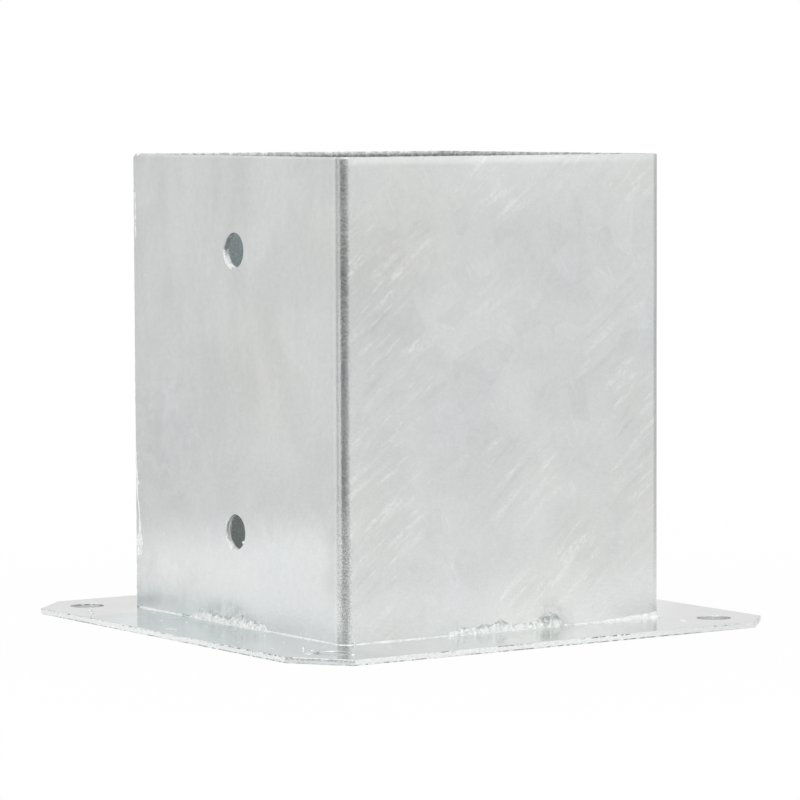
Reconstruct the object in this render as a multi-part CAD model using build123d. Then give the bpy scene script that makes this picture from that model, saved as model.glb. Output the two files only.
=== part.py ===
from build123d import *
import math
import os

# A bolt-down base for a square timber post: a socket folded from steel sheet, closed along
# one corner by a welded seam and welded by four short fillets onto a flat foot plate.
# Sizes are millimetres. +Z is up, and the origin is the centre of the plate's underside.
# The bolts through the post run along X. The seam is at the (-X, +Y) corner.

# The timber post, and the folded sheet that holds it
post_side = 120.0
wall = 2.0
bend_inside_radius = 2.0
socket_height = 150.0
seam_gap = 0.2
bolt_hole_diameter = 11.0
bolt_hole_to_end = 30.0

# The foot plate, its anchor holes and its drain hole
plate_flange = 28.0
plate_thickness = 2.0
corner_cut = 14.0
anchor_hole_diameter = 11.0
anchor_hole_to_edge = 16.0
drain_hole_diameter = 14.0

# The fillet weld in the middle of each wall's foot
foot_weld_length = 46.0
foot_weld_leg = 4.2
foot_weld_sink = 1.2
foot_weld_pitch = 3.2
foot_weld_ripple = 0.35
foot_weld_unevenness = 0.07
left_weld_shift = 4.0

# The two stitches on the seam: the lower one is set off from the plate, the upper one from the rim
lower_stitch_to_plate = 17.0
lower_stitch_length = 35.0
upper_stitch_to_rim = 12.0
upper_stitch_length = 16.0
seam_weld_height = 0.6
seam_weld_margin = 0.2
seam_weld_pitch = 2.3
seam_weld_ripple = 0.12
seam_weld_unevenness = 0.03

# Where a ripple of either kind of weld is highest, as a share of its length
ripple_lean = 0.35

# Sizes that follow from those above
socket_side = post_side + 2 * wall
plate_side = socket_side + 2 * plate_flange
bend_outside_radius = bend_inside_radius + wall
anchor_pitch = plate_side - 2 * anchor_hole_to_edge
socket_top = plate_thickness + socket_height
bolt_hole_heights = (plate_thickness + bolt_hole_to_end, socket_top - bolt_hole_to_end)
lower_stitch_bottom = plate_thickness + lower_stitch_to_plate
upper_stitch_bottom = socket_top - upper_stitch_to_rim - upper_stitch_length
toward_front_right = Axis((0, 0, 0), (1, -1, 0))


def foot_plate():
    """The square plate with its cut corners, four anchor holes and the hole that drains the socket."""
    blank = Rectangle(plate_side, plate_side)
    blank = chamfer(blank.vertices(), corner_cut)
    anchor_holes = GridLocations(anchor_pitch, anchor_pitch, 2, 2) * Circle(anchor_hole_diameter / 2)
    outline = blank - anchor_holes - Circle(drain_hole_diameter / 2)
    return extrude(outline, plate_thickness)


def bent_square(side, radius):
    """A square whose corners are all bends, apart from the one where the sheet's two ends meet."""
    square = Rectangle(side, side)
    seam_corner_first = square.vertices().sort_by(toward_front_right)
    return fillet(seam_corner_first[1:], radius)


def socket():
    """The sheet folded round three bends. Its left wall ends in a butt against the rear wall."""
    profile = bent_square(socket_side, bend_outside_radius) - bent_square(post_side, bend_inside_radius)
    middle_of_left_wall = -(post_side + wall) / 2
    profile -= Pos(middle_of_left_wall, (post_side - seam_gap) / 2) * Rectangle(wall, seam_gap)
    folded = Pos(0, 0, plate_thickness) * extrude(profile, socket_height)
    for height in bolt_hole_heights:
        drill = Cylinder(bolt_hole_diameter / 2, 2 * socket_side, rotation=(0, 90, 0))
        folded -= Pos(0, 0, height) * drill
    return folded


def rippled_bar(length, radius, sink, pitch, ripple_depth, unevenness):
    """A round bar along X with domed ends, and with ripples that overlap like scales, as a bead sets.

    Its length is measured at the faces it is welded on, which lie that far off its middle line.
    """
    count = round((length - 2 * math.sqrt(radius ** 2 - sink ** 2)) / pitch)
    crests = [radius * (1 + unevenness * math.sin(number ** 2)) for number in range(count)]
    neighbours = zip([crests[0]] + crests, crests + [crests[-1]])
    valleys = [min(pair) - ripple_depth for pair in neighbours]
    first, last = valleys[0], valleys[-1]
    start = -length / 2 + math.sqrt(first ** 2 - sink ** 2)
    end = length / 2 - math.sqrt(last ** 2 - sink ** 2)
    step = (end - start) / count
    outline = []
    for number, crest in enumerate(crests):
        left = start + number * step
        outline += [(left, valleys[number]), (left + ripple_lean * step, crest)]
    outline.append((end, last))
    edges = Polyline(outline).edges()
    edges.append(CenterArc((start, 0), first, 90, 90))
    edges.append(CenterArc((end, 0), last, 0, 90))
    edges.append(Line((start - first, 0), (end + last, 0)))
    return revolve(make_face(edges), Axis.X)


def foot_weld(turn, shift):
    """A weld bead in the corner of wall and plate, on the side that a turn about Z brings to the front."""
    # The bar's middle line lies a little below the plate's face and as far behind the wall's.
    radius = math.hypot(foot_weld_leg + foot_weld_sink, foot_weld_sink)
    corner_sink = math.hypot(foot_weld_sink, foot_weld_sink)
    bead = rippled_bar(
        foot_weld_length, radius, corner_sink, foot_weld_pitch, foot_weld_ripple, foot_weld_unevenness
    )
    bead = Pos(0, foot_weld_sink, -foot_weld_sink) * bead
    in_the_corner = Align.CENTER, Align.MAX, Align.MIN
    bead &= Box(2 * foot_weld_length, 2 * radius, 2 * radius, align=in_the_corner)
    return Rot(0, 0, turn) * Pos(shift, -socket_side / 2, plate_thickness) * bead


def seam_weld(bottom, length):
    """A low bead up the left wall, over the butt where the wall's end meets the rear wall."""
    half_width = wall - seam_weld_margin
    radius = (half_width ** 2 + seam_weld_height ** 2) / (2 * seam_weld_height)
    sink = radius - seam_weld_height
    bead = rippled_bar(length, radius, sink, seam_weld_pitch, seam_weld_ripple, seam_weld_unevenness)
    bead = Pos(sink, 0, 0) * Rot(0, 90, 0) * bead
    outside_the_wall = Align.MAX, Align.CENTER, Align.CENTER
    bead &= Box(2 * radius, 2 * wall, 2 * length, align=outside_the_wall)
    return Pos(-socket_side / 2, (post_side - seam_gap) / 2, bottom + length / 2) * bead


nodes = {
    "foot_plate": foot_plate(),
    "socket": socket(),
    "foot_weld_front": foot_weld(0, 0),
    "foot_weld_right": foot_weld(90, 0),
    "foot_weld_back": foot_weld(180, 0),
    "foot_weld_left": foot_weld(-90, -left_weld_shift),
    "seam_weld_lower": seam_weld(lower_stitch_bottom, lower_stitch_length),
    "seam_weld_upper": seam_weld(upper_stitch_bottom, upper_stitch_length),
}

os.makedirs("parts", exist_ok=True)
for name, solid in nodes.items():
    export_step(solid, f"parts/{name}.step")
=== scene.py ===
import math

import bpy
import numpy as np
from mathutils import Matrix, Vector, noise
from mathutils.geometry import delaunay_2d_cdt


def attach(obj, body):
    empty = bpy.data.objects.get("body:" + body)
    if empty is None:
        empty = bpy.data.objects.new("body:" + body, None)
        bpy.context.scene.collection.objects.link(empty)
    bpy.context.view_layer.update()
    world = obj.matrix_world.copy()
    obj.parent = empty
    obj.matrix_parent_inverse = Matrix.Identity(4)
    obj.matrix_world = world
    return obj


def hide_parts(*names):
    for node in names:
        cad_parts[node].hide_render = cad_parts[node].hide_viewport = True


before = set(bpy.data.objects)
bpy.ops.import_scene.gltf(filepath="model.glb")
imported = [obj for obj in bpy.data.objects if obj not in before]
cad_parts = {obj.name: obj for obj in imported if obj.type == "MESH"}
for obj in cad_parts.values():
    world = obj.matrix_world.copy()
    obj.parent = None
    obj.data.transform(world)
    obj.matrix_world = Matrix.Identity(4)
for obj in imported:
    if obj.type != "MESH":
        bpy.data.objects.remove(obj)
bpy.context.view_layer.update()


# Camera. A long lens looks at the front bend from a little above the socket's rim, turned about
# a third of the way from the blank front wall towards the drilled left wall.
camera_turn = math.radians(34.333)
camera_distance = 1.3456
camera_height = 0.16801
aim_to_the_right = math.radians(0.067)
aim_down = math.radians(4.098)
camera_tilt = math.radians(-0.215)
lens_mm = 185.56

heading = camera_turn + aim_to_the_right
forward = Vector((
    math.sin(heading) * math.cos(aim_down),
    math.cos(heading) * math.cos(aim_down),
    -math.sin(aim_down),
))
level_right = Vector((math.cos(heading), -math.sin(heading), 0))
upright = level_right.cross(forward)
right = math.cos(camera_tilt) * level_right + math.sin(camera_tilt) * upright
upward = math.cos(camera_tilt) * upright - math.sin(camera_tilt) * level_right
standpoint = (
    -camera_distance * math.sin(camera_turn),
    -camera_distance * math.cos(camera_turn),
    camera_height,
)

camera = bpy.data.objects.new("camera", bpy.data.cameras.new("camera"))
camera.data.lens = lens_mm
camera.data.sensor_width = 36
camera.data.clip_end = 20
camera_axes = Matrix((right, upward, -forward)).transposed().to_4x4()
camera.matrix_world = Matrix.Translation(standpoint) @ camera_axes
bpy.context.scene.collection.objects.link(camera)
bpy.context.scene.camera = camera
bpy.context.scene.view_settings.view_transform = "Standard"


# Studio. A white tent lights the metal from all sides and a soft box hangs over it. Grey screens
# stand round the table, and only the polished zinc shows them: dark ones low in front, in the line
# down the front bend, and pale ones at the sides and behind, in the other bends and the plate.
tent_light = 0.78
soft_box_size = 1.2
soft_box_place = (-0.35, -0.25, 1.5)
soft_box_power = 6.0
screen_distance = 2.0
screen_panels = 24

# Each screen: its grey, the turns from the left wall's side between which it stands, bottom and top
screens = {
    "left_flag": (0.68, (-32, -10), (-0.7, 1.4)),
    "dark_cloth": (0.13, (14, 51), (-0.7, 0.15)),
    "grey_cloth": (0.29, (51, 70), (-0.7, 0.15)),
    "pale_cloth": (0.58, (70, 84), (-0.7, 0.15)),
    "right_flag": (0.7, (150, 200), (-0.7, 1.4)),
    "grey_card": (0.86, (200, 284), (-0.7, 1.4)),
}


class Finish:
    """A material or the world. Each call adds a node or two and returns what comes out of them."""

    def __init__(self, owner):
        self.owner = owner
        owner.use_nodes = True
        self.nodes = owner.node_tree.nodes
        self.links = owner.node_tree.links
        self.shader = self.nodes.get("Principled BSDF") or self.nodes.get("Background")
        self.output = self.nodes.get("Material Output") or self.nodes.get("World Output")

    def put(self, socket, value):
        if isinstance(value, bpy.types.NodeSocket):
            self.links.new(value, socket)
        elif socket.type == "RGBA":
            socket.default_value = (*value, 1)
        else:
            socket.default_value = value

    def set(self, name, value):
        self.put(self.shader.inputs[name], value)

    def add(self, kind, inputs=(), out=0, **settings):
        node = self.nodes.new("ShaderNode" + kind)
        for setting, value in settings.items():
            setattr(node, setting, value)
        for key, value in dict(inputs).items():
            self.put(node.inputs[key], value)
        return node.outputs[out]

    def chain(self, operation, values):
        result = values[0]
        for value in values[1:]:
            result = self.add("Math", {0: result, 1: value}, operation=operation)
        return result

    def sum(self, *values):
        return self.chain("ADD", values)

    def less(self, *values):
        return self.chain("SUBTRACT", values)

    def product(self, *values):
        return self.chain("MULTIPLY", values)

    def larger(self, *values):
        return self.chain("MAXIMUM", values)

    def smaller(self, *values):
        return self.chain("MINIMUM", values)

    def unsigned(self, value):
        return self.add("Math", {0: value}, operation="ABSOLUTE")

    def fade(self, value, start, end, low=0.0, high=1.0):
        inputs = {0: value, 1: start, 2: end, 3: low, 4: high}
        return self.add("MapRange", inputs, interpolation_type="SMOOTHSTEP")

    def place(self):
        """The place on the object, in millimetres."""
        return self.scaled(self.add("TexCoord", out=3), 1000.0)

    def facing(self):
        """The way the surface faces."""
        return self.add("NewGeometry").node.outputs["Normal"]

    def parts(self, vector):
        return list(self.add("SeparateXYZ", {0: vector}).node.outputs)

    def join(self, x, y, z):
        return self.add("CombineXYZ", {0: x, 1: y, 2: z})

    def distance(self, x, y, z=0.0):
        return self.add("VectorMath", {0: self.join(x, y, z)}, out=1, operation="LENGTH")

    def scaled(self, vector, factor):
        return self.add("VectorMath", {0: vector, 3: factor}, operation="SCALE")

    def times(self, vector, factors):
        return self.add("VectorMath", {0: vector, 1: factors}, operation="MULTIPLY")

    def cloud(self, vector, scale, detail=3.0, rough=0.5, distortion=0.0):
        inputs = {"Vector": vector, "Scale": scale, "Detail": detail, "Roughness": rough}
        return self.add("TexNoise", inputs | {"Distortion": distortion})

    def mix(self, share, first, second):
        inputs = {0: share, 6: first, 7: second}
        return self.add("Mix", inputs, out=2, data_type="RGBA")

    def mix_light(self, share, first, second):
        return self.add("MixShader", {0: share, 1: first, 2: second})

    def bump(self, height, strength, distance):
        inputs = {"Height": height, "Strength": strength, "Distance": distance}
        self.set("Normal", self.add("Bump", inputs))


def material(name, **settings):
    """A new metal or cloth with its plain settings on the shader's own sockets."""
    finish = Finish(bpy.data.materials.new(name))
    for setting, value in settings.items():
        finish.set(setting.replace("_", " ").title(), value)
    return finish


def shown_directly(finish):
    """1 for what the camera sees, alone or in polished metal, and 0 for what only lights the scene."""
    path = finish.add("LightPath").node.outputs
    return finish.larger(path["Is Camera Ray"], path["Is Glossy Ray"], path["Is Transmission Ray"])


def mesh_object(name, points, faces, finish):
    """A new object from points in metres, smooth, with its material."""
    mesh = bpy.data.meshes.new(name)
    mesh.from_pydata([tuple(point) for point in points], [], faces)
    mesh.validate()
    mesh.shade_smooth()
    mesh.materials.append(finish.owner)
    made = bpy.data.objects.new(name, mesh)
    bpy.context.scene.collection.objects.link(made)
    return made


def curved_screen(name, grey, turns, heights):
    """An upright screen round part of the studio. It is seen only in polished metal."""
    finish = material(name)
    glow = finish.add("Emission", {"Color": (grey,) * 3, "Strength": 1.0})
    finish.put(finish.output.inputs["Surface"], glow)
    points = []
    for turn in np.radians(np.linspace(*turns, screen_panels + 1)):
        for height in heights:
            points.append((-screen_distance * math.cos(turn), -screen_distance * math.sin(turn), height))
    faces = [(2 * n, 2 * n + 1, 2 * n + 3, 2 * n + 2) for n in range(screen_panels)]
    screen = mesh_object(name, points, faces, finish)
    screen.visible_camera = False
    screen.visible_diffuse = False
    screen.visible_shadow = False


bpy.context.scene.world = bpy.data.worlds.new("tent")
tent = Finish(bpy.context.scene.world)
tent.set("Color", (1, 1, 1))
tent.set("Strength", tent.fade(shown_directly(tent), 0.0, 1.0, tent_light, 1.0))

soft_box = bpy.data.objects.new("soft_box", bpy.data.lights.new("soft_box", "AREA"))
soft_box.data.size = soft_box_size
soft_box.data.energy = soft_box_power
soft_box.location = soft_box_place
soft_box.rotation_euler = Vector(soft_box_place).to_track_quat("Z", "Y").to_euler()
bpy.context.scene.collection.objects.link(soft_box)

for name, (grey, turns, heights) in screens.items():
    curved_screen(name, grey, turns, heights)


# Foot plate. A square of 2 mm steel with sheared corners, four punched anchor holes and one drain
# hole, dipped in zinc with the rest. The zinc is bright and mirror-like on top, and it sits in
# rough white beads along the sheared edges.
plate_side = 180.0
plate_thickness = 2.0
corner_cut = 14.0
anchor_pitch = 148.0
anchor_hole_radius = 5.5
drain_hole_radius = 7.0
plate_edge_radius = 0.35
plate_raggedness = 0.11
dip_warp = 0.05
half = plate_side / 2

# How far the front, right, back and left corner's cut is out along x and along y
cut_errors = [(-1.2, 3.5), (-2.2, -2.4), (0.0, 0.0), (-0.5, -0.8)]


def noise_at(points, grain, seed):
    """Smooth noise from -1 to 1 at each point, its lumps as wide as the grain, in millimetres."""
    shift = Vector((seed * 13.7, seed * 7.1, 0))
    return np.array([noise.noise(Vector(point) * (1 / grain) + shift) for point in points])


def round_hole(x, y, radius, spacing=0.6):
    """A hole's edge, clockwise, so that the metal is on its left."""
    count = int(2 * math.pi * radius / spacing)
    turns = -2 * math.pi * np.arange(count) / count
    return np.column_stack((x + radius * np.cos(turns), y + radius * np.sin(turns)))


def subdivided(corners, spacing):
    """A closed outline with points set along each side."""
    points = []
    for start, end in zip(corners, np.roll(corners, -1, axis=0)):
        count = max(1, int(round(np.linalg.norm(end - start) / spacing)))
        points += [start + (end - start) * n / count for n in range(count)]
    return np.array(points)


def towards_metal(loop):
    """At each point of a loop, the unit direction from the edge into the metal."""
    along = np.roll(loop, -1, axis=0) - np.roll(loop, 1, axis=0)
    along /= np.linalg.norm(along, axis=1)[:, None]
    return np.column_stack((-along[:, 1], along[:, 0]))


def inside(loop, points):
    """Which of the points a closed loop surrounds."""
    x, y = points[:, 0][:, None], points[:, 1][:, None]
    ax, ay = loop[:, 0][None], loop[:, 1][None]
    bx, by = np.roll(loop[:, 0], -1)[None], np.roll(loop[:, 1], -1)[None]
    rise = np.where(by == ay, 1e-12, by - ay)
    crossing = ((ay > y) != (by > y)) & (x < (bx - ax) * (y - ay) / rise + ax)
    return crossing.sum(1) % 2 == 1


def in_metal(rings, points):
    """Which of the points lie inside the first ring and outside all the others."""
    return inside(rings[0], points) & ~np.any([inside(ring, points) for ring in rings[1:]], axis=0)


def edge_levels(thickness, edge_radius):
    """How far in and how deep each ring of points lies, from one face over the rounded edge to the other."""
    rounding = [math.radians(angle) for angle in (0, 30, 60, 90)]
    near_face = [(edge_radius * (1 - math.sin(a)), edge_radius * (1 - math.cos(a))) for a in rounding]
    straight = [(0.0, depth) for depth in np.linspace(edge_radius, thickness - edge_radius, 6)[1:-1]]
    far_face = [(inset, thickness - depth) for inset, depth in reversed(near_face)]
    flat_begins = edge_radius + 0.35
    return [(flat_begins, 0.0)] + near_face + straight + far_face + [(flat_begins, thickness)]


def flat_triangles(rings, grid):
    """The grid's points that lie in the metal, and triangles over the rings' points and those."""
    on_rings = np.concatenate(rings)
    kept = in_metal(rings, grid)
    for n in np.nonzero(kept)[0]:
        kept[n] = np.min(np.sum((on_rings - grid[n]) ** 2, axis=1)) > 0.45 ** 2
    grid = grid[kept]
    edges, begin = [], 0
    for ring in rings:
        edges += [(begin + n, begin + (n + 1) % len(ring)) for n in range(len(ring))]
        begin += len(ring)
    places = np.concatenate((on_rings, grid))
    found = delaunay_2d_cdt([Vector(point) for point in places], edges, [], 0, 1e-7)
    origin = [ids[0] if ids else None for ids in found[3]]
    triangles = [[origin[v] for v in face] for face in found[2]]
    triangles = np.array([triangle for triangle in triangles if None not in triangle])
    triangles = triangles[in_metal(rings, places[triangles].mean(axis=1))]
    a, b, c = (places[triangles[:, k]] for k in range(3))
    turned = (b[:, 0] - a[:, 0]) * (c[:, 1] - a[:, 1]) - (b[:, 1] - a[:, 1]) * (c[:, 0] - a[:, 0]) < 0
    triangles[turned] = triangles[turned][:, ::-1]
    return grid, triangles


def cut_sheet(outline, holes, thickness, edge_radius, grid, put_in_place, raggedness, seed):
    """Points and faces of a part cut from flat sheet and put in place by a function of x, y and depth.

    The edges are rounded, and the zinc on them is as ragged as the raggedness says.
    """
    levels = edge_levels(thickness, edge_radius)
    flat_begins = levels[0][0]
    loops = [outline] + holes
    blocks, faces, ring_starts = [], [], []
    total = 0
    for loop in loops:
        normal = towards_metal(loop)
        count = len(loop)
        starts = []
        for inset, depth in levels:
            starts.append(total)
            total += count
            on_edge = np.column_stack((loop, np.full(count, depth)))
            wander = raggedness * (noise_at(on_edge, 1.3, seed) + 0.6 * noise_at(on_edge, 0.5, seed + 1))
            wander *= 1 - inset / flat_begins
            ring = loop + normal * (inset - wander)[:, None]
            blocks.append(np.column_stack((ring, np.full(count, depth))))
        ring_starts.append(starts)
        for outer, inner in zip(starts[:-1], starts[1:]):
            for n in range(count):
                after = (n + 1) % count
                faces.append((inner + n, inner + after, outer + after, outer + n))
    near_rings = [loop + towards_metal(loop) * flat_begins for loop in loops]
    grid, triangles = flat_triangles(near_rings, grid)
    for depth, level, way in ((0.0, 0, 1), (thickness, -1, -1)):
        index = []
        for loop, starts in zip(loops, ring_starts):
            index += range(starts[level], starts[level] + len(loop))
        index += range(total, total + len(grid))
        total += len(grid)
        blocks.append(np.column_stack((grid, np.full(len(grid), depth))))
        faces += np.array(index)[triangles][:, ::way].tolist()
    points = np.concatenate(blocks)
    return put_in_place(points[:, 0], points[:, 1], points[:, 2]), faces


def lay_plate(x, y, depth):
    """Puts the plate's flat blank in place, with the faint warp that a hot dip leaves."""
    z = plate_thickness - depth
    warp = dip_warp * noise_at(np.column_stack((x, y, 0 * x)), 30.0, 3)
    return np.column_stack((x, y, z + warp * (z / plate_thickness)))


cuts = [(corner_cut + along_x, corner_cut + along_y) for along_x, along_y in cut_errors]
(front_x, front_y), (right_x, right_y), (back_x, back_y), (left_x, left_y) = cuts
plate_corners = np.array([
    (front_x - half, -half), (half - right_x, -half), (half, right_y - half), (half, half - back_y),
    (half - back_x, half), (left_x - half, half), (-half, half - left_y), (-half, front_y - half),
])
hole_places = [(x * anchor_pitch / 2, y * anchor_pitch / 2) for x in (-1, 1) for y in (-1, 1)]
plate_holes = [round_hole(x, y, anchor_hole_radius) for x, y in hole_places]
plate_holes.append(round_hole(0, 0, drain_hole_radius))
ticks = np.arange(-half + 2, half, 3.0)
plate_grid = np.array([(x, y) for x in ticks for y in ticks])
points, faces = cut_sheet(
    subdivided(plate_corners, 0.55), plate_holes, plate_thickness, plate_edge_radius, plate_grid, lay_plate,
    plate_raggedness, 11
)

# The faces: bright, darker at the seam's corner and the one opposite, bluer on the left flange, and
# darkest underneath
bright = material("bright_zinc_plate", metallic=1.0)
place = bright.place()
x, y, z = bright.parts(place)
side_x, side_y = bright.unsigned(x), bright.unsigned(y)
outermost = bright.larger(side_x, side_y)
blotches = bright.cloud(place, 0.05, 4.0, 0.55, 0.8)
fine = bright.cloud(place, 0.9, 4.0, 0.6)
wiped = bright.cloud(bright.times(place, (0.5, 0.12, 0.0)), 1.0, 5.0, 0.6, 0.6)
left_front = bright.product(
    bright.fade(x, -58.0, -66.0), bright.fade(y, 54.0, 42.0), bright.fade(z, 0.5, 1.5)
)
face_level = bright.sum(
    0.745,
    bright.fade(bright.unsigned(bright.less(x, y)), 130.0, 112.0, 0.0, 0.14),
    bright.product(left_front, -0.09),
    bright.fade(z, 1.5, 0.5, 0.0, -0.12),
    bright.fade(blotches, 0.3, 0.7, -0.022, 0.022),
    bright.fade(wiped, 0.3, 0.7, -0.018, 0.018),
    bright.fade(fine, 0.3, 0.7, -0.012, 0.012),
)
face_colour = bright.mix(blotches, (0.965, 1.0, 0.985), (0.995, 1.0, 0.975))
face_colour = bright.scaled(face_colour, face_level)
bluer = bright.times(face_colour, (0.95, 1.0, 1.035))
face_colour = bright.mix(bright.product(left_front, 0.8), face_colour, bluer)

# The sheared edges: white crumbs, calmer to the right and the rear, greyer on the front corner's cut
on_edge = bright.fade(bright.unsigned(bright.parts(bright.facing())[2]), 0.95, 0.55)
crumbs = bright.cloud(place, 1.1, 5.0, 0.7)
calm = bright.sum(bright.fade(x, 0.0, 30.0, 0.1, 0.5), bright.fade(y, -30.0, 10.0, 0.0, 0.35))
edge_colour = bright.mix(bright.fade(crumbs, 0.36, 0.64, calm), (0.74, 0.76, 0.76), (0.94, 0.95, 0.94))
front_cut = bright.product(
    bright.fade(bright.sum(x, bright.product(y, 0.73)), -141.6, -142.4), bright.fade(y, -71.8, -72.8)
)
cut_colour = bright.mix(bright.fade(crumbs, 0.36, 0.64), (0.64, 0.66, 0.65), (0.8, 0.82, 0.81))
edge_colour = bright.mix(front_cut, edge_colour, cut_colour)
# In the holes the bore is painted dark in patches high up: painted shade under the top lip
in_hole = bright.fade(outermost, half - 4.0, half - 6.0)
shade_under_lip = bright.product(
    bright.fade(z, 1.0, 1.7), bright.fade(bright.cloud(place, 0.22, 2.0, 0.5), 0.47, 0.56)
)
hole_colour = bright.mix(shade_under_lip, (0.76, 0.78, 0.77), (0.45, 0.47, 0.46))
edge_colour = bright.mix(in_hole, edge_colour, hole_colour)
duller_ends = bright.product(bright.fade(x, 10.0, 60.0, 1.0, 0.87), bright.fade(y, 10.0, 70.0, 1.0, 0.94))
edge_colour = bright.scaled(edge_colour, duller_ends)

# Dark dashes low and high on the edges, and a row of them along the front corner's cut. The high ones
# and the row are nicks; the low ones, at the foot of the edge, are painted contact shadow with some nicks
along_edge = bright.times(place, (0.4, 0.4, 1.2))
edge_dashes = bright.cloud(along_edge, 1.0, 3.0, 0.7)
edge_dash_clusters = bright.cloud(place, 0.035, 2.0, 0.5)
left_edge = bright.fade(x, -87.0, -89.0)
low_dash_share = bright.larger(
    bright.fade(edge_dash_clusters, 0.44, 0.54, 0.25, 1.0),
    bright.fade(bright.unsigned(bright.sum(x, -12.0)), 48.0, 30.0),
    bright.product(left_edge, bright.fade(y, 0.0, -50.0)),
)
contact_shadow_and_low_nicks = bright.product(
    bright.fade(z, 0.55, 0.22),
    bright.fade(edge_dashes, 0.47, 0.52),
    low_dash_share,
    bright.fade(front_cut, 0.0, 1.0, 1.0, 0.4),
)
left_dashes = bright.larger(
    bright.fade(edge_dashes, 0.44, 0.38),
    bright.product(bright.fade(edge_dashes, 0.49, 0.43), bright.fade(y, -15.0, -50.0)),
)
other_dashes = bright.product(bright.fade(edge_dashes, 0.52, 0.47), bright.fade(edge_dash_clusters, 0.52, 0.42))
high_nicks = bright.product(
    bright.fade(z, 1.45, 1.7), bright.larger(other_dashes, bright.product(left_edge, left_dashes))
)
row_on_cut = bright.product(
    bright.fade(bright.unsigned(bright.sum(z, -1.35)), 0.42, 0.16),
    bright.fade(bright.cloud(along_edge, 3.2, 3.0, 0.7), 0.45, 0.56),
    front_cut,
    0.5,
)
off_right_corner = bright.fade(bright.less(x, y), 164.0, 156.0)
nicks_and_contact_shadow = bright.product(bright.larger(contact_shadow_and_low_nicks, high_nicks, row_on_cut), off_right_corner, 0.8)
edge_colour = bright.mix(nicks_and_contact_shadow, edge_colour, (0.1, 0.11, 0.11))
bright.set("Base Color", bright.mix(on_edge, face_colour, edge_colour))

beside_weld = bright.product(
    bright.fade(bright.smaller(side_x, side_y), 30.0, 22.0), bright.fade(outermost, 80.0, 66.0)
)
bright.set("Roughness", bright.sum(
    bright.fade(blotches, 0.3, 0.7, 0.1, 0.17),
    bright.product(on_edge, 0.35),
    bright.product(beside_weld, 0.16),
))
bright.bump(bright.sum(bright.cloud(place, 0.09, 2.0, 0.4), bright.product(fine, 0.05)), 0.25, 0.0006)

foot_plate = mesh_object("foot_plate_dipped", points / 1000, faces, bright)
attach(foot_plate, "root")
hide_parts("foot_plate")


# Table. The base stands on a pale table top that fades into the white ground round it and keeps the
# base's shadow. It is left out right under the plate's metal, so that the plate's underside has
# light to mirror, and it is not seen from below.
table_grey = 0.95
table_radius = 500.0
table_solid_radius = 140.0
table_show_through = 0.94
table_below_plate = 0.02
table_sides = 96

table = material("pale_table", base_color=(table_grey,) * 3, roughness=0.9)
x, y, z = table.parts(table.place())
side_x, side_y = table.unsigned(x), table.unsigned(y)
from_middle = table.distance(x, y, z)
outermost = table.larger(side_x, side_y, table.sum(side_x, side_y, corner_cut - half))
from_anchor = table.distance(table.sum(side_x, -anchor_pitch / 2), table.sum(side_y, -anchor_pitch / 2))
under_metal = table.product(
    table.fade(outermost, half - 0.3, half - 0.6),
    table.fade(from_anchor, anchor_hole_radius + 0.1, anchor_hole_radius + 0.4),
    table.fade(from_middle, drain_hole_radius + 0.1, drain_hole_radius + 0.4),
)
beyond_plate = table.fade(outermost, half - 1.0, half)
share_of_white = table.product(shown_directly(table), table_show_through, beyond_plate)
plain_white = table.add("Emission", {"Color": (1, 1, 1), "Strength": 1.0})
lit_table = table.mix_light(share_of_white, table.shader.outputs[0], plain_white)
left_out = table.larger(
    table.fade(from_middle, table_solid_radius, table_radius),
    under_metal,
    table.add("NewGeometry").node.outputs["Backfacing"],
)
clear = table.add("BsdfTransparent")
table.put(table.output.inputs["Surface"], table.mix_light(left_out, lit_table, clear))

turns = 2 * math.pi * np.arange(table_sides) / table_sides
points = np.column_stack((
    table_radius * np.cos(turns), table_radius * np.sin(turns), np.full(table_sides, -table_below_plate)
))
table_top = mesh_object("pale_table", points / 1000, [tuple(range(table_sides))], table)


# Socket. One strip of 2 mm sheet, drilled flat, folded round three bends and butted against
# itself at the left rear corner. The dip left it satin, with slanting streaks on the front wall,
# upright ones on the left, and a thicker coat along the rim and low down; the colour there also
# holds a painted highlight on the rim and a painted reflection of the plate low down.
post_side = 120.0
wall = 2.0
bend_outside_radius = 4.0
socket_height = 150.0
seam_gap = 0.2
bolt_hole_radius = 5.5
bolt_hole_to_end = 30.0
rim_radius = 0.45
rim_raggedness = 0.09
rear_rim_climb = 0.22

outside = post_side / 2 + wall
bend_middle_radius = bend_outside_radius - wall / 2
bend_length = bend_middle_radius * math.pi / 2
to_bend = outside - bend_outside_radius
left_wall_length = post_side / 2 - seam_gap + to_bend
full_wall_length = 2 * to_bend
rear_wall_length = to_bend + outside
strip_length = left_wall_length + 2 * full_wall_length + rear_wall_length + 3 * bend_length

# Each run of the strip. A wall: its length, where its outer face starts, the way it goes and the
# way it faces. A bend: its length, its middle, the turn at which it starts, and None.
runs = [
    (left_wall_length, (-outside, post_side / 2 - seam_gap), (0, -1), (-1, 0)),
    (bend_length, (-to_bend, -to_bend), math.pi, None),
    (full_wall_length, (-to_bend, -outside), (1, 0), (0, -1)),
    (bend_length, (to_bend, -to_bend), 1.5 * math.pi, None),
    (full_wall_length, (outside, -to_bend), (0, 1), (1, 0)),
    (bend_length, (to_bend, to_bend), 0.0, None),
    (rear_wall_length, (to_bend, outside), (-1, 0), (0, 1)),
]


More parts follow.
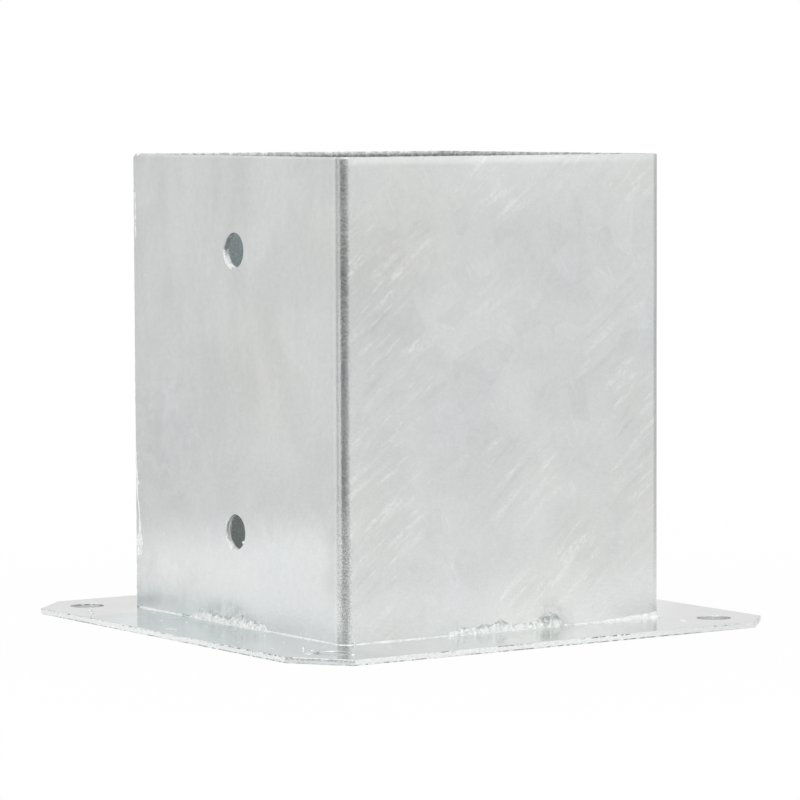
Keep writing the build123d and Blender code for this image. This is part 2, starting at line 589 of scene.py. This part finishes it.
def fold_socket(along, height, depth):
    """Folds the flat strip: a point of it is given by its place along the strip, height and depth.

    The rear wall's rim climbs a little towards the seam, and all the walls wave by a hair.
    """
    points = np.zeros((len(along), 3))
    points[:, 2] = plate_thickness + height
    begin = 0.0
    for number, (length, start, way, facing) in enumerate(runs):
        last = number == len(runs) - 1
        here = (along >= begin - (1 if number == 0 else 0)) & ((along < begin + length) | last)
        local = along[here] - begin
        if facing is None:
            turn = way + local / bend_middle_radius
            reach = bend_outside_radius - depth[here]
            points[here, 0] = start[0] + reach * np.cos(turn)
            points[here, 1] = start[1] + reach * np.sin(turn)
        else:
            points[here, 0] = start[0] + way[0] * local - facing[0] * depth[here]
            points[here, 1] = start[1] + way[1] * local - facing[1] * depth[here]
        begin += length
    along_rear = np.clip((along - strip_length + rear_wall_length) / rear_wall_length, 0, 1)
    points[:, 2] += rear_rim_climb * along_rear * np.clip(height / socket_height, 0, 1) ** 4
    wave = dip_warp * noise_at(np.column_stack((along, height, 0 * along)), 34.0, 5)
    from_middle = points[:, :2] / np.linalg.norm(points[:, :2], axis=1)[:, None]
    points[:, :2] += from_middle * wave[:, None]
    return points


columns = []
begin = 0.0
for length, start, way, facing in runs:
    if facing is None:
        columns += list(begin + np.linspace(0, length, 11))
    else:
        between_ends = np.linspace(3, length - 3, int(length / 3.5))
        columns += list(begin + np.concatenate(([0.5], between_ends, [length - 0.5])))
    begin += length
rows = np.linspace(2, socket_height - 2, 44)
strip_grid = np.array([(column, row) for column in columns for row in rows])
strip_corners = np.array([
    (0, 0), (strip_length, 0), (strip_length, socket_height - 1.1), (strip_length - 0.9, socket_height),
    (0.7, socket_height), (0, socket_height - 0.8),
])
middle_of_left = left_wall_length - to_bend
middle_of_right = left_wall_length + full_wall_length + 2 * bend_length + full_wall_length / 2
bolt_holes = [
    round_hole(along, height, bolt_hole_radius)
    for along in (middle_of_left, middle_of_right)
    for height in (bolt_hole_to_end, socket_height - bolt_hole_to_end)
]
points, faces = cut_sheet(
    subdivided(strip_corners, 0.6), bolt_holes, wall, rim_radius, strip_grid, fold_socket, rim_raggedness, 23
)

satin = material("satin_zinc_sheet")
place = satin.place()
x, y, z = satin.parts(place)
side_x, side_y = satin.unsigned(x), satin.unsigned(y)
side_wall = satin.fade(satin.unsigned(satin.parts(satin.facing())[0]), 0.45, 0.75)
front_wall = satin.less(1.0, side_wall)
across = satin.sum(x, y)
grain = satin.cloud(place, 1.4, 3.0, 0.6)
specks = satin.cloud(place, 0.45, 4.0, 0.65)
patches = satin.cloud(place, 0.04, 3.0, 0.55, 0.5)
drift = satin.cloud(place, 0.015, 2.0, 0.5)

# Where the sheet's inner faces are, and the bores of the bolt holes
past_bend_x, past_bend_y = (satin.larger(satin.less(side, to_bend), 0.0) for side in (side_x, side_y))
inner_face = satin.fade(satin.distance(past_bend_x, past_bend_y), 3.1, 2.9)
lower_hole_height = plate_thickness + bolt_hole_to_end
upper_hole_height = plate_thickness + socket_height - bolt_hole_to_end
from_hole = satin.smaller(*(
    satin.distance(0.0, y, satin.less(z, height)) for height in (lower_hole_height, upper_hole_height)
))
bore = satin.fade(from_hole, bolt_hole_radius + 0.2, bolt_hole_radius - 0.1)

# Front wall: soft drain streaks that climb to the right, in clusters, and a few angular crystals
over = satin.sum(satin.product(across, 0.63), satin.product(z, -0.78), satin.product(drift, 7.0))
along = satin.sum(satin.product(across, 0.78), satin.product(z, 0.63))
streaks = satin.cloud(
    satin.join(satin.product(over, 0.3), satin.product(along, 0.045), 0.0), 1.0, 1.0, 0.5, 0.3
)
fine_streaks = satin.cloud(
    satin.join(satin.product(over, 0.6), satin.product(along, 0.09), 3.0), 1.0, 1.0, 0.5, 0.2
)
cross_over = satin.sum(satin.product(across, 0.9), satin.product(z, 0.44))
cross_along = satin.sum(satin.product(across, -0.44), satin.product(z, 0.9))
cross_streaks = satin.cloud(
    satin.join(satin.product(cross_over, 0.65), satin.product(cross_along, 0.06), 11.0), 1.0, 1.0, 0.4
)
clusters = satin.cloud(place, 0.03, 2.0, 0.5)
bent_place = satin.join(across, satin.sum(z, satin.product(patches, 6.0)), 0.0)
crystal = satin.parts(satin.add("TexVoronoi", {"Vector": bent_place, "Scale": 0.085}, out=1))[0]
streaked = satin.fade(clusters, 0.44, 0.58, 0.1, 1.0)
chalk = satin.fade(satin.cloud(place, 0.75, 4.0, 0.72), 0.4, 0.58, 0.3, 1.45)
front_level = satin.sum(
    0.646,
    satin.product(satin.fade(x, -20.0, -45.0), satin.fade(z, 70.0, 100.0), -0.035),
    satin.fade(patches, 0.35, 0.65, -0.022, 0.018),
    satin.product(satin.fade(streaks, 0.53, 0.7, 0.0, 0.05), streaked, chalk),
    satin.product(satin.fade(streaks, 0.43, 0.28, 0.0, -0.03), streaked),
    satin.product(satin.fade(fine_streaks, 0.56, 0.72, 0.0, 0.046), satin.fade(clusters, 0.48, 0.6), chalk),
    satin.product(satin.fade(cross_streaks, 0.64, 0.74, 0.0, 0.032), satin.fade(clusters, 0.48, 0.4)),
    satin.product(satin.fade(crystal, 0.1, 0.9, -0.014, 0.014), satin.fade(clusters, 0.54, 0.44)),
    # Brighter towards the rim, where the coat is thicker, and a painted highlight on the rim itself,
    # stronger to the left
    satin.fade(z, 125.0, 150.0, 0.0, 0.048),
    satin.product(satin.fade(z, 148.8, 151.0), satin.fade(x, 62.0, 10.0, 0.06, 0.12)),
    # Brighter low down: zinc that ran thicker there, with a painted reflection of the bright plate
    satin.fade(z, 75.0, 12.0, 0.0, 0.045),
    satin.fade(z, 26.0, 6.0, 0.0, 0.072),
    satin.product(
        satin.fade(z, 14.0, 5.0),
        satin.fade(satin.unsigned(satin.sum(x, -18.0)), 42.0, 8.0, 0.0, 0.05),
    ),
)

# Left wall: upright runs over the upper half, curls low at the rear, and a pale band above the foot,
# thicker zinc with a painted reflection of the plate on it
upright_runs = satin.cloud(
    satin.join(satin.product(across, 0.075), satin.product(z, 0.018), 7.0), 1.0, 2.0, 0.45, 0.2
)
curls = satin.cloud(place, 0.11, 3.0, 0.5, 1.2)
low_rear = satin.product(satin.fade(y, 12.0, 34.0), satin.fade(z, 92.0, 72.0))
band_edge = satin.sum(z, satin.product(patches, 14.0), satin.product(curls, 8.0), satin.product(y, 0.09))
side_level = satin.sum(
    0.61,
    satin.fade(y, 20.0, -50.0, 0.0, 0.03),
    # A painted highlight on the rim
    satin.fade(z, 151.0, 151.7, 0.0, 0.06),
    satin.product(satin.fade(upright_runs, 0.35, 0.65, -0.014, 0.014), satin.fade(z, 45.0, 95.0, 0.15, 1.0)),
    satin.fade(patches, 0.35, 0.65, -0.02, 0.02),
    satin.product(satin.fade(curls, 0.38, 0.62, -0.023, 0.006), low_rear),
    # The pale band: thicker zinc, with a painted reflection of the plate on it
    satin.fade(band_edge, 52.0, 34.0, 0.0, 0.152),
    # Painted shade low along the foot, where the wall meets the plate
    satin.product(satin.fade(y, -40.0, -60.0), satin.fade(z, 8.0, 4.0), -0.05),
    satin.product(satin.fade(y, -4.0, -22.0), satin.fade(y, -58.0, -44.0), satin.fade(z, 10.0, 4.0), -0.05),
    # Darker towards the wall's ends, and in a patch low by the front bend
    satin.fade(side_y, 30.0, 60.0, 0.0, -0.015),
    satin.product(
        satin.fade(y, -48.0, -58.0), satin.fade(z, 12.0, 20.0), satin.fade(z, 44.0, 32.0), -0.09
    ),
    # More painted shade low towards the rear
    satin.product(satin.fade(y, 40.0, 62.0, 0.0, -0.03), satin.fade(z, 34.0, 20.0)),
    satin.product(satin.fade(y, 20.0, 50.0, 0.0, -0.06), satin.fade(z, 13.0, 6.0)),
)

# Soot-grey zinc over the foot welds, the front bend's dark line deepened with painted shade, and a
# painted highlight beside it
smoke = satin.fade(satin.cloud(place, 0.22, 5.0, 0.75), 0.42, 0.6)
around_front_crust = satin.distance(satin.sum(x, -17.5), satin.sum(z, -4.0), satin.product(smoke, 3.0))
over_front_weld = satin.product(satin.fade(around_front_crust, 9.5, 3.5), front_wall)
around_left_weld = satin.distance(
    satin.product(satin.sum(y, -4.0), 0.36), satin.sum(z, -3.5), satin.product(smoke, 2.0)
)
over_left_weld = satin.product(satin.fade(around_left_weld, 9.0, 3.0), side_wall)
soot = satin.product(satin.sum(over_front_weld, over_left_weld), satin.sum(0.35, smoke), -0.13)
in_front_bend = satin.product(satin.fade(x, -58.2, -59.2), satin.fade(y, -58.2, -59.2))
past_middle = satin.less(past_bend_y, past_bend_x)
bend_shadow = satin.product(
    in_front_bend,
    satin.fade(past_middle, -3.9, 0.0),
    satin.fade(past_middle, 3.5, 0.8),
    satin.sum(satin.fade(z, 34.0, 9.0, 0.0, -0.2), satin.fade(z, 104.0, 118.0, 0.0, -0.11)),
)
bend_specks = satin.product(
    in_front_bend,
    satin.fade(satin.cloud(place, 2.0, 2.0, 0.6), 0.38, 0.62, -0.1, 0.1),
    satin.fade(z, 60.0, 20.0, 0.38, 1.0),
)
bend_edge_highlight = satin.fade(satin.unsigned(satin.sum(y, 57.8)), 1.1, 0.2, 0.0, 0.03)
outer_level = satin.sum(
    satin.product(side_level, side_wall),
    satin.product(front_level, front_wall),
    satin.fade(grain, 0.3, 0.7, -0.013, 0.013),
    satin.fade(specks, 0.3, 0.7, -0.011, 0.011),
    satin.product(bend_edge_highlight, side_wall),
    bend_shadow,
    bend_specks,
    soot,
)
tint = satin.mix(satin.fade(drift, 0.3, 0.7), (0.972, 1.0, 0.999), (0.988, 1.0, 0.985))
outer_coat = satin.scaled(tint, outer_level)
low_on_left = satin.product(satin.fade(z, 16.0, 6.0), satin.fade(y, -20.0, 20.0), side_wall)
outer_coat = satin.mix(low_on_left, outer_coat, satin.times(outer_coat, (0.965, 1.0, 1.02)))

# Inside, the top two millimetres show over the front rim: a light edge, and a dark line of painted
# shade under it. Deeper down the inside is painted darker and bluer, as shade.
inner_coat = satin.mix(satin.fade(specks, 0.3, 0.7), (0.7, 0.725, 0.715), (0.78, 0.805, 0.795))
inner_level = satin.sum(
    satin.fade(z, 151.8, 151.6, 0.92, 1.1),
    satin.product(satin.fade(specks, 0.38, 0.62, -0.16, 0.16), satin.fade(z, 149.5, 150.5)),
    satin.fade(z, 151.4, 150.65, 0.0, -0.52),
    satin.fade(z, 149.8, 148.0, 0.0, 0.32),
    satin.product(satin.fade(z, 146.0, 138.0), satin.fade(z, 60.0, 90.0, -0.06, -0.12)),
    satin.product(satin.fade(x, 58.5, 59.5), satin.fade(z, 150.6, 151.6), -0.26),
    satin.fade(grain, 0.3, 0.7, -0.12, 0.12),
)
inner_coat = satin.scaled(inner_coat, inner_level)
shade_deep_inside = satin.product(satin.fade(z, 146.0, 138.0), satin.fade(z, 60.0, 90.0))
inner_coat = satin.mix(shade_deep_inside, inner_coat, satin.times(inner_coat, (0.92, 1.0, 1.02)))
coat = satin.mix(inner_face, outer_coat, inner_coat)

# In the bolt holes the lower half of the bore is white, a painted reflection over zinc that pooled
# there, and the upper half is painted grey as shade, darker in the upper hole, with pale specks
upper_hole = satin.fade(z, 76.0, 78.0)
between_holes = upper_hole_height - lower_hole_height
above_hole_middle = satin.sum(z, -lower_hole_height, satin.product(upper_hole, -between_holes))
pooled_with_painted_reflection = satin.fade(satin.sum(above_hole_middle, satin.fade(grain, 0.3, 0.7, -1.2, 1.2)), 0.8, -0.9)
bore_painted_shade = satin.mix(upper_hole, (0.62, 0.64, 0.62), (0.34, 0.37, 0.37))
bore_painted_shade = satin.mix(satin.fade(specks, 0.54, 0.62, 0.0, 0.6), bore_painted_shade, (0.84, 0.86, 0.85))
coat = satin.mix(bore, coat, satin.mix(pooled_with_painted_reflection, bore_painted_shade, (0.98, 0.99, 0.975)))
satin.set("Base Color", coat)
satin.set("Metallic", satin.sum(1.0, satin.product(inner_face, -0.4), satin.product(bore, -0.6)))
satin.set("Roughness", satin.sum(
    satin.fade(patches, 0.3, 0.7, 0.21, 0.27), satin.product(satin.larger(inner_face, bore), 0.3)
))
satin.bump(satin.sum(specks, satin.product(grain, 0.6)), 0.3, 0.0003)

socket = mesh_object("socket_folded", points / 1000, faces, satin)
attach(socket, "root")
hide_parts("socket")


# Foot welds. One short fillet in the middle of each side, laid by hand before the dip, so the zinc
# sits on each as a rough whitish crust that creeps a few millimetres up the wall.
foot_weld_length = 46.0
foot_weld_grain = 0.28

# Each weld: its node, turn about Z, shift along the wall, seed and raggedness
foot_welds = [
    ("front", 0, 0.0, 31, 0.2),
    ("right", 90, 0.0, 37, 0.25),
    ("back", 180, 0.0, 41, 0.25),
    ("left", -90, -4.0, 43, 0.45),
]

# The lumps of each weld's crust: where along the weld, how wide and how high
lumps_on = {
    "front": [(-19, 3, 0.6), (-8, 4, 0.8), (-2, 2.5, 1.8), (17.0, 4.5, 3.3)],
    "right": [(-12, 6, 1.4), (10, 5, 1.0)],
    "back": [(-6, 7, 1.6), (15, 4, 1.0)],
    "left": [
        (-17, 3, 1.3), (-10, 3, 1.9), (-4, 2, 1.2), (0, 2.5, 1.9), (5, 1.5, 1.0), (9, 3, 1.6),
        (15, 2.5, 0.8), (20, 2, 0.5),
    ],
}


def crusted_bead(length, lumps, raggedness, seed):
    """A closed bead along X in the corner of a wall (facing -Y) and a plate, with a crust up the wall."""
    along = np.linspace(-length / 2, length / 2, int(length / foot_weld_grain))
    share = np.linspace(0, 1, 26)
    grid_along, grid_share = np.meshgrid(along, share, indexing="ij")
    taper = np.clip((length / 2 - np.abs(grid_along)) / 4.0, 0, 1) ** 0.6
    flat = np.column_stack((grid_along.ravel(), 5.0 * grid_share.ravel(), 0 * grid_along.ravel()))
    swell = noise_at(flat, 6.0, seed) + 0.7 * noise_at(flat, 2.2, seed + 1)
    swell = swell.reshape(grid_along.shape)
    crumbs = noise_at(flat, 1.1, seed + 2) + 0.7 * noise_at(flat, 0.55, seed + 3)
    crumbs = crumbs.reshape(grid_along.shape)
    straight = np.column_stack((along, 0 * along, 0 * along))
    ragged = (noise_at(straight, 1.4, seed + 4) + 0.7 * noise_at(straight, 0.6, seed + 5))[:, None]
    creep = sum(high * np.exp(-((grid_along - where) / wide) ** 2) for where, wide, high in lumps)
    up_the_wall = (2.0 + creep * (1 + 0.3 * swell) + 0.4 * swell) * (1 + raggedness * ragged)
    onto_the_plate = 1.6 + 0.35 * swell + 0.2 * ragged
    hollow = 1.05 + 0.22 * creep
    rise = up_the_wall * (1 - grid_share) ** hollow
    spread = onto_the_plate * grid_share ** hollow
    skin = np.sqrt(np.sin(math.pi * grid_share))
    out = (spread + skin * (0.16 + 0.17 * crumbs)) * taper - 0.06
    up = (rise + 0.12 * skin * crumbs) * taper - 0.06
    across = len(share)
    count = len(along)
    points = np.stack((grid_along, -out, up), axis=2).reshape(-1, 3)
    behind = np.column_stack((along, np.full(count, 0.3), np.full(count, -0.3)))
    points = np.concatenate((points, behind))
    first_behind = count * across
    faces = []
    for n in range(count - 1):
        row, after = n * across, (n + 1) * across
        for k in range(across - 1):
            faces.append((row + k, row + k + 1, after + k + 1, after + k))
        faces.append((row + across - 1, first_behind + n, first_behind + n + 1, after + across - 1))
        faces.append((first_behind + n, row, after, first_behind + n + 1))
    faces.append(tuple(reversed([*range(across), first_behind])))
    faces.append((*range((count - 1) * across, count * across), first_behind + count - 1))
    return points, faces


crust = material("crusty_zinc_weld", metallic=0.7)
place = crust.place()
height = crust.parts(place)[2]
pits = crust.cloud(place, 0.9, 5.0, 0.7)
sparkle = crust.cloud(place, 2.2, 3.0, 0.7)
pale_crust = crust.mix(crust.fade(pits, 0.36, 0.56), (0.68, 0.7, 0.695), (0.885, 0.91, 0.9))
grey_crust = crust.mix(crust.fade(pits, 0.4, 0.6), (0.44, 0.465, 0.455), (0.76, 0.785, 0.775))
uneven_height = crust.sum(height, crust.fade(crust.cloud(place, 0.35, 3.0, 0.6), 0.3, 0.7, -0.9, 0.9))
crust_colour = crust.mix(crust.fade(uneven_height, 3.5, 4.5), pale_crust, grey_crust)
crust_colour = crust.mix(crust.fade(sparkle, 0.6, 0.7), crust_colour, (0.98, 0.98, 0.96))
crust.set("Base Color", crust_colour)
crust.set("Roughness", crust.fade(pits, 0.3, 0.7, 0.55, 0.4))
crust.bump(crust.sum(pits, sparkle), 0.3, 0.0002)

for side, turn, shift, seed, raggedness in foot_welds:
    points, faces = crusted_bead(foot_weld_length, lumps_on[side], raggedness, seed)
    points += (shift, -outside, plate_thickness)
    swing = np.array(Matrix.Rotation(math.radians(turn), 3, "Z"))
    foot_weld = mesh_object("foot_weld_crust_" + side, points @ swing.T / 1000, faces, crust)
    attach(foot_weld, "root")
    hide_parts("foot_weld_" + side)


# Zinc in the joint. Between the welds the dip has drawn a thin bright line of zinc along the whole
# foot of the socket. It is widest at the right front corner, where the zinc ran off last.
line_step = 0.5
line_width = 0.4
narrowest_line = 0.1

# Half of the line's section, from the wall's face outwards and upwards, as shares of its width
line_section = [(-0.08, 1.0), (0.05, 0.95), (0.22, 0.45), (0.5, 0.2), (0.95, 0.05), (1.0, -0.08)]


def foot_path():
    """Points along the foot of the socket's outer faces, each with the way it faces."""
    path = []
    for length, start, way, facing in runs:
        for local in np.arange(0, length, line_step):
            if facing is None:
                turn = way + local / bend_middle_radius
                ray = np.array((math.cos(turn), math.sin(turn)))
                path.append((np.array(start) + bend_outside_radius * ray, ray))
            else:
                path.append((np.array(start) + np.array(way) * local, np.array(facing)))
    return path


path = foot_path()
places = np.array([place for place, ray in path])
rays = np.array([ray for place, ray in path])
flat = np.column_stack((places, 0 * places[:, 0]))
widths = line_width * (1 + 0.25 * noise_at(flat, 7.0, 71) + 0.3 * noise_at(flat, 1.8, 72))
near_right_corner = np.exp(-(np.hypot(places[:, 0] - 58, places[:, 1] + outside) / 12.0) ** 2)
near_front_corner = np.exp(-(np.hypot(places[:, 0] + outside, places[:, 1] + outside) / 7.0) ** 2)
widths *= (1 + 3.4 * near_right_corner) * (1 - 0.5 * near_front_corner)
beside_left_weld = (places[:, 0] < -outside + 1) & (np.abs(places[:, 1] - 30.5) < 2.5)
widths[beside_left_weld] *= 0.35
widths = np.maximum(widths, narrowest_line)
points, faces = [], []
for place, ray, width in zip(places, rays, widths):
    for out, up in line_section:
        points.append((*(place + ray * (out * width)), plate_thickness + up * width))
    points.append((*(place - ray * 0.2), plate_thickness - 0.2))
size = len(line_section) + 1
count = len(path)
for n in range(count - 1):
    row, after = n * size, (n + 1) * size
    for k in range(size):
        faces.append((row + k, row + (k + 1) % size, after + (k + 1) % size, after + k))
faces.append(tuple(reversed(range(size))))
faces.append(tuple(range((count - 1) * size, count * size)))

white = material("white_zinc_line", metallic=0.9)
beads = white.cloud(white.place(), 0.8, 4.0, 0.6)
white.set("Base Color", white.mix(white.fade(beads, 0.35, 0.6), (0.79, 0.81, 0.81), (0.95, 0.97, 0.965)))
white.set("Roughness", white.fade(beads, 0.3, 0.7, 0.42, 0.6))
joint_line = mesh_object("zinc_joint_line", np.array(points) / 1000, faces, white)
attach(joint_line, "root")


# Seam. Two stitches hold the butt at the left rear corner, and zinc has filled the rest of the joint
# from plate to rim. The stitches stand a little proud, white and ragged, and run over the corner.
seam_line = post_side / 2

# Each stitch and the fill at some heights above the plate: where its middle is, half its width, its rise
lower_stitch = [
    (17.0, 59.8, 1.7, 0.2), (21.0, 59.7, 2.1, 0.25), (23.5, 59.8, 2.0, 0.4), (25.0, 59.3, 1.0, 0.35),
    (28.0, 59.3, 0.6, 0.22), (34.5, 60.1, 0.45, 0.18), (37.0, 60.8, 0.4, 0.15), (40.0, 60.9, 0.55, 0.2),
    (41.5, 60.4, 1.0, 0.3), (43.0, 60.9, 0.55, 0.22), (47.0, 61.3, 0.6, 0.25), (52.0, 61.4, 0.4, 0.2),
]
upper_stitch = [
    (122.0, 60.9, 0.35, 0.15), (124.0, 60.6, 0.55, 0.22), (127.0, 60.9, 0.35, 0.15),
    (132.0, 60.6, 0.5, 0.2), (138.0, 60.9, 0.35, 0.15),
]
whole_seam = [(0.3, seam_line, 0.85, 0.08), (socket_height - 0.5, seam_line, 0.85, 0.08)]


def raised_run(shape, raggedness, seed):
    """A closed ragged run of zinc up the left wall, over the seam."""
    low, high = shape[0][0], shape[-1][0]
    heights = np.linspace(low, high, int((high - low) / 0.4))
    table = np.array(shape)
    middle, half_width, rise = (np.interp(heights, table[:, 0], table[:, n])[:, None] for n in (1, 2, 3))
    share = np.linspace(-1, 1, 13)
    grid_height, grid_share = np.meshgrid(heights, share, indexing="ij")
    ends = np.clip(np.minimum(grid_height - low, high - grid_height) / 2.0, 0, 1) ** 0.5
    flat_width = (half_width * grid_share).ravel()
    flat = np.column_stack((grid_height.ravel(), flat_width, 0 * flat_width))
    rough = (noise_at(flat, 3.0, seed) + 0.7 * noise_at(flat, 1.1, seed + 1)).reshape(grid_height.shape)
    wander = noise_at(flat[:, [0, 2, 2]], 2.5, seed + 2).reshape(grid_height.shape)
    dome = (1 - grid_share ** 2) * (rise * ends * (1 + raggedness * rough)) - 0.04
    across_wall = middle + grid_share * half_width * (1 + 0.5 * raggedness * wander)
    around_corner = np.maximum(across_wall - outside, 0)
    across_wall = np.minimum(across_wall, outside + 0.15)
    skin = (-outside - dome + around_corner, across_wall, plate_thickness + grid_height)
    core = np.column_stack((0 * heights - outside + 0.5, middle, plate_thickness + heights))
    points = np.concatenate((np.stack(skin, axis=2).reshape(-1, 3), core))
    wide, tall = len(share), len(heights)
    begin = wide * tall
    faces = []
    for n in range(tall - 1):
        row, after = n * wide, (n + 1) * wide
        for k in range(wide - 1):
            faces.append((row + k, after + k, after + k + 1, row + k + 1))
        faces.append((row + wide - 1, after + wide - 1, begin + n + 1, begin + n))
        faces.append((begin + n, begin + n + 1, after, row))
    faces.append((*range(wide), begin))
    faces.append(tuple(reversed([*range((tall - 1) * wide, tall * wide), begin + tall - 1])))
    return points, faces


for name, shape, seed in (("lower", lower_stitch, 51), ("upper", upper_stitch, 57)):
    points, faces = raised_run(shape, 0.9, seed)
    stitch = mesh_object("seam_stitch_" + name, points / 1000, faces, white)
    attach(stitch, "root")
    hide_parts("seam_weld_" + name)

points, faces = raised_run(whole_seam, 0.3, 61)
seam_fill = mesh_object("seam_fill", points / 1000, faces, satin)
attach(seam_fill, "root")


# Specks. Drops of zinc that froze on the plate and low on the walls, smears and drips at the anchor
# holes, and zinc that pooled on the edges of the bolt holes.
speck_draw = np.random.default_rng(17)
plate_speck_draws = 46
wall_specks = 14

# The larger smears and drips: where on the plate, half the width, half the depth, height
smears = [
    (-82.7, 5.2, 1.9, 2.5, 0.1), (-74.9, 24.2, 0.7, 1.0, 0.15), (-65.9, 44.5, 0.9, 0.9, 0.12),
    (-82.6, 56.6, 0.35, 0.4, 1.3), (-83.4, 55.0, 0.7, 0.6, 0.35), (-80.2, 61.5, 0.5, 1.6, 0.2),
    (-76.4, -61.6, 0.3, 0.4, 0.8), (-75.5, -65.1, 0.5, 0.8, 0.2), (-70.9, -81.0, 0.7, 0.7, 0.3),
    (-58.1, -62.4, 0.5, 0.4, 0.9), (-80.4, -71.0, 1.3, 1.6, 0.25), (60.5, -74.6, 1.5, 3.2, 0.12),
    (-70.5, 16.0, 0.6, 1.5, 0.12), (-79.5, -20.0, 0.5, 1.2, 0.15), (-72.0, -44.0, 0.6, 1.4, 0.12),
]

# Zinc that pooled on the edge of a bolt hole: the hole's height, the turn round it, radius and rise
pooled_drops = [(upper_hole_height, -4 - 9 * n, 0.45 + 0.25 * math.sin(0.35 * n), 0.16) for n in range(9)]
pooled_drops += [(lower_hole_height, -22 - 9 * n, 0.5, 0.14) for n in range(6)]
pooled_drops += [(lower_hole_height, -148, 0.6, 0.3), (lower_hole_height, 28, 0.45, 0.25)]


def frozen_drop(middle, facing, radius, rise, seed, deep=None):
    """A flat lopsided drop, half sunk in its face. On the plate it may run deeper than it is wide."""
    middle, facing = Vector(middle), Vector(facing)
    if deep is None:
        side = facing.orthogonal().normalized()
        other = facing.cross(side)
    else:
        side = level_right * radius
        other = facing.cross(level_right) * deep
        radius = 1.0
    ring_count, around = 5, 14
    points = [middle + facing * rise]
    for ring in range(1, ring_count + 1):
        lean = ring / ring_count * math.radians(105)
        for n in range(around):
            turn = 2 * math.pi * n / around
            wobble = 1 + 0.35 * noise.noise(Vector((math.cos(turn), math.sin(turn), seed)))
            reach = radius * wobble * math.sin(lean)
            spot = middle + side * (reach * math.cos(turn)) + other * (reach * math.sin(turn))
            points.append(spot + facing * (rise * math.cos(lean)))
    points.append(middle - facing * (0.3 * rise))
    faces = [(0, 1 + n, 1 + (n + 1) % around) for n in range(around)]
    for ring in range(ring_count - 1):
        row = 1 + ring * around
        for n in range(around):
            after = (n + 1) % around
            faces.append((row + n, row + around + n, row + around + after, row + after))
    row = 1 + (ring_count - 1) * around
    faces += [(row + n, len(points) - 1, row + (n + 1) % around) for n in range(around)]
    return points, faces


drops = []
for n in range(plate_speck_draws):
    spot = speck_draw.uniform(-half + 6, half - 6, 2)
    if np.max(np.abs(spot)) > outside + 3:
        radius, rise = speck_draw.uniform(0.15, 0.55), speck_draw.uniform(0.06, 0.2)
        drops.append(((*spot, plate_thickness), (0, 0, 1), radius, rise))
drops += [((x, y, plate_thickness), (0, 0, 1), wide, high, deep) for x, y, wide, deep, high in smears]
for n in range(wall_specks):
    spot = speck_draw.uniform(-to_bend, to_bend)
    height = plate_thickness + speck_draw.uniform(1, 30)
    on_front = (spot, -outside, height), (0, -1, 0)
    on_left = (-outside, spot, height), (-1, 0, 0)
    radius, rise = speck_draw.uniform(0.12, 0.3), speck_draw.uniform(0.05, 0.12)
    drops.append((*(on_left if n % 2 else on_front), radius, rise))
for height, turn, radius, rise in pooled_drops:
    reach = bolt_hole_radius + 0.25
    beside, above = reach * math.cos(math.radians(turn)), reach * math.sin(math.radians(turn))
    drops.append(((-outside, beside, height + above), (-1, 0, 0), radius, rise))

# A few more drops stand in the lower bolt hole, on its rear side
for above in (0.2, 1.0, 1.8, 2.6):
    beside = math.sqrt(bolt_hole_radius ** 2 - above ** 2)
    drops.append(((-outside + 1.5, beside, lower_hole_height + above), (0, -1, 0), 0.65, 0.22))


points, faces = [], []
for number, (middle, facing, radius, rise, *deep) in enumerate(drops):
    drop_points, drop_faces = frozen_drop(middle, facing, radius, rise, number * 1.7, *deep)
    faces += [tuple(v + len(points) for v in face) for face in drop_faces]
    points += drop_points
frozen_specks = mesh_object("zinc_specks", np.array(points) / 1000, faces, white)
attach(frozen_specks, "root")
